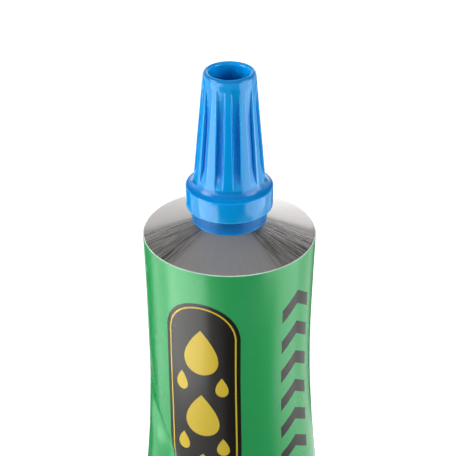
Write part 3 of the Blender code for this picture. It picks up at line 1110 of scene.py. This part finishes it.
def cap_rings():
    """The cap from the web over the nozzle, down the inside, up the outside and down into the recess."""
    well = [
        (WEB_RING, web_bottom),
        (well_radius, web_bottom),
        (well_radius, thread_top),
        (thread_bore, thread_top),
    ]
    bore_foot = shoulder_height(thread_bore) + SKIRT_CLEARANCE + SKIRT_EDGE
    bore_levels = steps_between(thread_top, bore_foot, THREAD_STEP)[1:]
    cone_levels = steps_between(cone_foot, cap_rim_foot, CONE_STEP)[1:-1]
    rings = [cap_ring(radius, height) for radius, height in well]
    rings += [bore_ring(height) for height in bore_levels]
    rings += [cap_ring(radius, height) for radius, height in skirt_profile()]
    rings += [cap_ring(cone_radius(height), height, flute_run(height)) for height in cone_levels]
    rings += [cap_ring(radius, height) for radius, height in recess_profile()]
    return rings


# The deep, foot and skirt blues below are painted shade and painted shadow; the edge blue is for painted
# highlights.
CAP_BLUES = ((0.001, 0.3, 0.74, 1), (0.001, 0.335, 0.81, 1))
CAP_BLUE_HOLLOW_SHADE = (0.0004, 0.085, 0.62, 1)
CAP_BLUE_HIGHLIGHT = (0.02, 0.46, 0.92, 1)
FOOT_AND_RIM_SHADE_BLUE = (0.0005, 0.215, 0.59, 1)
SKIRT_SHADOW_BLUE = (0.0003, 0.138, 0.43, 1)
SKIRT_LEAST_SHADE = 0.4
SKIRT_MATT = 0.15
CAP_GRAIN = (3800.0, 450.0)
CAP_ROUGHNESS = (0.11, 0.18)
CAP_RELIEF = (0.06, 0.00004)
CAP_IOR = 1.32
HOLLOW_REACH = 0.004
HOLLOW_SHUT = 0.4
HOLLOW_OPEN = 0.95
HIGHLIGHT_LINE = 0.00006
EDGE_FADE = 0.00014
FLANGE_HIGHLIGHT_RISE = 0.00018
BAND_END = 0.0002


def highlight_line(tree, value, edge):
    """Mask of a thin painted highlight line where value passes this edge."""
    off = sums(tree, "ABSOLUTE", sums(tree, "SUBTRACT", value, edge))
    return ramp(tree, off, HIGHLIGHT_LINE, EDGE_FADE, 1.0, 0.0)


def height_band(tree, height, foot, top, end=BAND_END):
    """Mask of the heights from foot to top, with soft ends of this length."""
    above = ramp(tree, height, foot - end, foot + end, 0.0, 1.0)
    return sums(tree, "MULTIPLY", above, ramp(tree, height, top - end, top + end, 1.0, 0.0))


def flute_edge_highlights(tree, split, height, radius):
    """Mask of painted highlight lines along both edges of every flute."""
    angle = sums(tree, "SUBTRACT", sums(tree, "ARCTAN2", split[1], split[0]), FLUTE_PHASE)
    across = sums(tree, "MULTIPLY", wrapped(tree, angle, flute_pitch), radius)
    edges = highlight_line(tree, sums(tree, "ABSOLUTE", across), FLUTE_WIDTH / 2)
    fade = FLUTE_FOOT_RUN_OUT / 2
    along = height_band(tree, height, flute_foot + fade / 2, flute_top - fade, fade)
    outside = sums(tree, "GREATER_THAN", radius, cap_rim_radius - FLUTE_DEPTH)
    return sums(tree, "MULTIPLY", edges, sums(tree, "MULTIPLY", along, outside))


def cap_finish():
    """Glossy polypropylene with the faint orange peel of the mould's polish. Painted highlights make its
    thin edges paler. Painted shade makes it a deeper blue in its hollows, at the foot of the cone and on the
    rim, and a painted shadow under the flange darkens the skirt."""
    material, tree, shader = new_material("blue_polypropylene")
    split, flat = flattened(tree)
    height = sums(tree, "SUBTRACT", split[2], rim_height)
    radius = vectors(tree, "LENGTH", "Value", flat)
    # Painted shade: a deeper blue from the flange's top up to the cone's foot, and on the outer half of the
    # rim.
    foot = height_band(tree, height, flange_top, cone_foot)
    rim_middle = recess_radius + cap_rim_round
    outside = ramp(tree, radius, rim_middle - EDGE_FADE, rim_middle, 0.0, 1.0)
    outer_rim_shade = sums(tree, "MULTIPLY", height_band(tree, height, cap_rim_foot, cap_top), outside)
    # Painted shadow: the skirt under the flange is a deeper blue, darkest just below the flange, and a
    # little rougher.
    skirt_middle = (skirt_bottom + flange_bottom) / 2
    shade = ramp(tree, height, skirt_bottom, skirt_middle, SKIRT_LEAST_SHADE, 1.0)
    skirt = sums(tree, "MULTIPLY", shade, sums(tree, "LESS_THAN", height, flange_bottom))
    # Painted highlights: pale lines along the skirt's and the flange's lower edges and along both edges of
    # every flute.
    skirt_highlight = highlight_line(tree, height, skirt_bottom + HIGHLIGHT_LINE)
    flange_highlight = highlight_line(tree, height, flange_bottom + FLANGE_HIGHLIGHT_RISE)
    lower_highlights = sums(tree, "MAXIMUM", skirt_highlight, flange_highlight)
    edges = sums(tree, "MAXIMUM", flute_edge_highlights(tree, split, height, radius), lower_highlights)
    # Painted shade: the blue turns deeper where ambient occlusion finds the surface hollow.
    unshaded_share = node(tree, "ShaderNodeAmbientOcclusion", {"Distance": HOLLOW_REACH}).outputs["AO"]
    unshaded_share = ramp(tree, unshaded_share, HOLLOW_SHUT, HOLLOW_OPEN, 0.0, 1.0)
    grain = grain_on(tree, *CAP_GRAIN)
    colour = blend_colour(tree, unshaded_share, CAP_BLUE_HOLLOW_SHADE, blend_colour(tree, grain["Broad"], *CAP_BLUES))
    tints = ((foot, FOOT_AND_RIM_SHADE_BLUE), (outer_rim_shade, FOOT_AND_RIM_SHADE_BLUE), (skirt, SKIRT_SHADOW_BLUE), (edges, CAP_BLUE_HIGHLIGHT))
    for mask, tint in tints:
        colour = blend_colour(tree, mask, colour, tint)
    polish = spread(tree, grain["Fine"], *CAP_ROUGHNESS)
    finish = {
        "Base Color": colour,
        "Roughness": sums(tree, "MULTIPLY_ADD", skirt, SKIRT_MATT, polish),
        "Normal": relief(tree, grain["Height"], *CAP_RELIEF),
        "IOR": CAP_IOR,
    }
    set_inputs(tree, shader, finish)
    return material


cap_moulding = skin("cap_moulding", cap_rings())
cap_moulding.data.materials.append(cap_finish())
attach(cap_moulding, "cap")
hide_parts("screw_cap")

# Studio: a white floor without an edge under a bright horizon and a dim ceiling, and two soft keys. The
# cards at the sides and behind show only as reflections, and so do the black flags, as dark ones. The
# camera looks down on the cap as in the photograph.

FLOOR_HALF = 3.0
FLOOR_WHITES = ((0.8, 0.8, 0.8, 1), (0.83, 0.83, 0.83, 1))
FLOOR_GRAIN = (900.0, 4.0)
FLOOR_ROUGHNESS = 0.9
FLOOR_GLOW = 0.8
WHITE = (1, 1, 1, 1)


def floor_finish():
    """White paper. It glows where it is looked at, so that it is white in the picture with a soft shadow."""
    material, tree, shader = new_material("white_floor")
    path = node(tree, "ShaderNodeLightPath").outputs
    mirrored = sums(tree, "MAXIMUM", path["Is Glossy Ray"], path["Is Transmission Ray"])
    seen = sums(tree, "MAXIMUM", path["Is Camera Ray"], mirrored)
    finish = {
        "Base Color": blend_colour(tree, grain_on(tree, *FLOOR_GRAIN)["Broad"], *FLOOR_WHITES),
        "Roughness": FLOOR_ROUGHNESS,
        "Specular IOR Level": 0.0,
        "Emission Color": WHITE,
        "Emission Strength": sums(tree, "MULTIPLY", seen, FLOOR_GLOW),
    }
    set_inputs(tree, shader, finish)
    return material


def sheet(name, corners, finish):
    """One flat face with four corners."""
    mesh = bpy.data.meshes.new(name)
    mesh.from_pydata(corners, [], [(0, 1, 2, 3)])
    mesh.materials.append(finish)
    return add_object(name, mesh)


floor_corners = [(x * FLOOR_HALF, y * FLOOR_HALF, 0.0) for x, y in ((-1, -1), (1, -1), (1, 1), (-1, 1))]
floor = sheet("floor", floor_corners, floor_finish())

HORIZON = 0.85
HORIZON_EDGE = (0.4, 0.44)
CEILING_GAP = 0.1
CEILING = 0.12
CEILING_EDGE = (0.72, 0.8)
OVERHEAD = 0.2
OVERHEAD_EDGE = (0.92, 1.0)

world = bpy.data.worlds.new("studio")
world.use_nodes = True
bpy.context.scene.world = world
sky = world.node_tree
heading = node(sky, "ShaderNodeTexCoord").outputs["Generated"]
upward = node(sky, "ShaderNodeSeparateXYZ", {0: heading}).outputs[2]
horizon = ramp(sky, upward, *HORIZON_EDGE, HORIZON, 0.0)
ceiling = ramp(sky, upward, *CEILING_EDGE, CEILING_GAP, CEILING_GAP + CEILING)
overhead = ramp(sky, upward, *OVERHEAD_EDGE, 0.0, OVERHEAD)
brightness = sums(sky, "MAXIMUM", horizon, sums(sky, "ADD", ceiling, overhead))
set_inputs(sky, sky.nodes["Background"], {"Color": brightness})

CARD_TARGET = (0, 0, 0.075)
BACK_CARD_SIZE = (0.2, 0.3)
KEY_TARGET = (0, 0, 0.105)
KEY_ELEVATION = 22
KEY_REACH = 0.35
KEY_SIZE = (0.2, 0.2)
KEY_BEAM = math.radians(70)


def soft_box(name, place, target, size, brightness):
    """A rectangular lamp that shines from its place at the target with this brightness over its face."""
    width, height = size
    lamp = bpy.data.lights.new(name, "AREA")
    lamp.shape = "RECTANGLE"
    lamp.size = width
    lamp.size_y = height
    lamp.energy = brightness * math.pi * width * height
    stand = add_object(name, lamp)
    stand.location = place
    stand.rotation_euler = (Vector(target) - Vector(place)).to_track_quat("-Z", "Y").to_euler()
    stand.visible_camera = False
    return stand


def key(name, bearing_from_front, brightness):
    """A lamp with a narrowed beam that lights the cap from this many degrees to the right of the front."""
    turn = math.radians(bearing_from_front)
    lift = math.radians(KEY_ELEVATION)
    out = KEY_REACH * math.cos(lift)
    place = (out * math.sin(turn), -out * math.cos(turn), KEY_TARGET[2] + KEY_REACH * math.sin(lift))
    stand = soft_box(name, place, KEY_TARGET, KEY_SIZE, brightness)
    stand.data.spread = KEY_BEAM


cards = [
    soft_box("left_card", (-0.0945, -0.0604, 0.062), CARD_TARGET, (0.115, 0.13), 6.8),
    soft_box("left_rear_card", (-0.104, 0.041, 0.062), CARD_TARGET, (0.112, 0.13), 0.8),
    soft_box("right_card", (0.0955, -0.03, 0.0835), (0, 0, 0.0835), (0.127, 0.087), 4.4),
    soft_box("right_low_card", (0.1, -0.0105, 0.02), (0, 0, 0.02), (0.065, 0.04), 2.2),
    soft_box("back_left_card", (-0.11, 0.5, 0.17), (-0.11, 0, 0.17), BACK_CARD_SIZE, 0.8),
    soft_box("back_right_card", (0.11, 0.5, 0.17), (0.11, 0, 0.17), BACK_CARD_SIZE, 1.7),
]
for card in cards:
    card.visible_diffuse = False
key("left_key", -75, 1.7)
key("right_key", 70, 1.0)

VELVET_BLACKS = ((0.004, 0.004, 0.004, 1), (0.012, 0.012, 0.012, 1))
VELVET_GRAIN = (1200.0, 60.0)


def velvet():
    """Black cloth with a short pile."""
    material, tree, shader = new_material("black_velvet")
    finish = {
        "Base Color": blend_colour(tree, grain_on(tree, *VELVET_GRAIN)["Fine"], *VELVET_BLACKS),
        "Roughness": 1.0,
        "Specular IOR Level": 0.0,
    }
    set_inputs(tree, shader, finish)
    return material


def flag(name, bearing_from_front, half_angle, foot, top, cloth):
    """A black board out of the picture that the glossy sides show as a dark stretch. It throws no shadow.
    Its foot and its top are each given as (metres from the tube's axis, height)."""
    turn = math.radians(bearing_from_front)
    out = Vector((math.sin(turn), -math.cos(turn), 0))
    along = Vector((math.cos(turn), math.sin(turn), 0)) * math.tan(math.radians(half_angle))
    corners = []
    for (reach, height), sides in ((foot, (-1, 1)), (top, (1, -1))):
        corners += [(out + along * side) * reach + Vector((0, 0, height)) for side in sides]
    board = sheet(name, corners, cloth)
    board.visible_camera = False
    board.visible_diffuse = False
    board.visible_shadow = False


black_velvet = velvet()
flag("left_flag", -133, 16, (0.035, 0.0), (0.09, 0.095), black_velvet)
flag("right_flag", 150, 10, (0.09, 0.0), (0.09, 0.095), black_velvet)
flag("front_flag", 6, 35, (0.072, 0.057), (0.1, 0.095), black_velvet)
flag("low_flag", 26, 33, (0.03, 0.0), (0.07, 0.054), black_velvet)
flag("flute_flag", -36, 6, (0.085, 0.068), (0.085, 0.106), black_velvet)

CAMERA_PLACE = (-0.0002, -0.1652, 0.19335)
CAMERA_PITCH = math.radians(30.14)
CAMERA_LENS = 104.4
CAMERA_NEAR = 0.01

lens = bpy.data.cameras.new("camera")
lens.lens = CAMERA_LENS
lens.clip_start = CAMERA_NEAR
camera = add_object("camera", lens)
camera.location = CAMERA_PLACE
camera.rotation_euler = (QUARTER_TURN - CAMERA_PITCH, 0, 0)
bpy.context.scene.camera = camera
bpy.context.scene.view_settings.view_transform = "Standard"
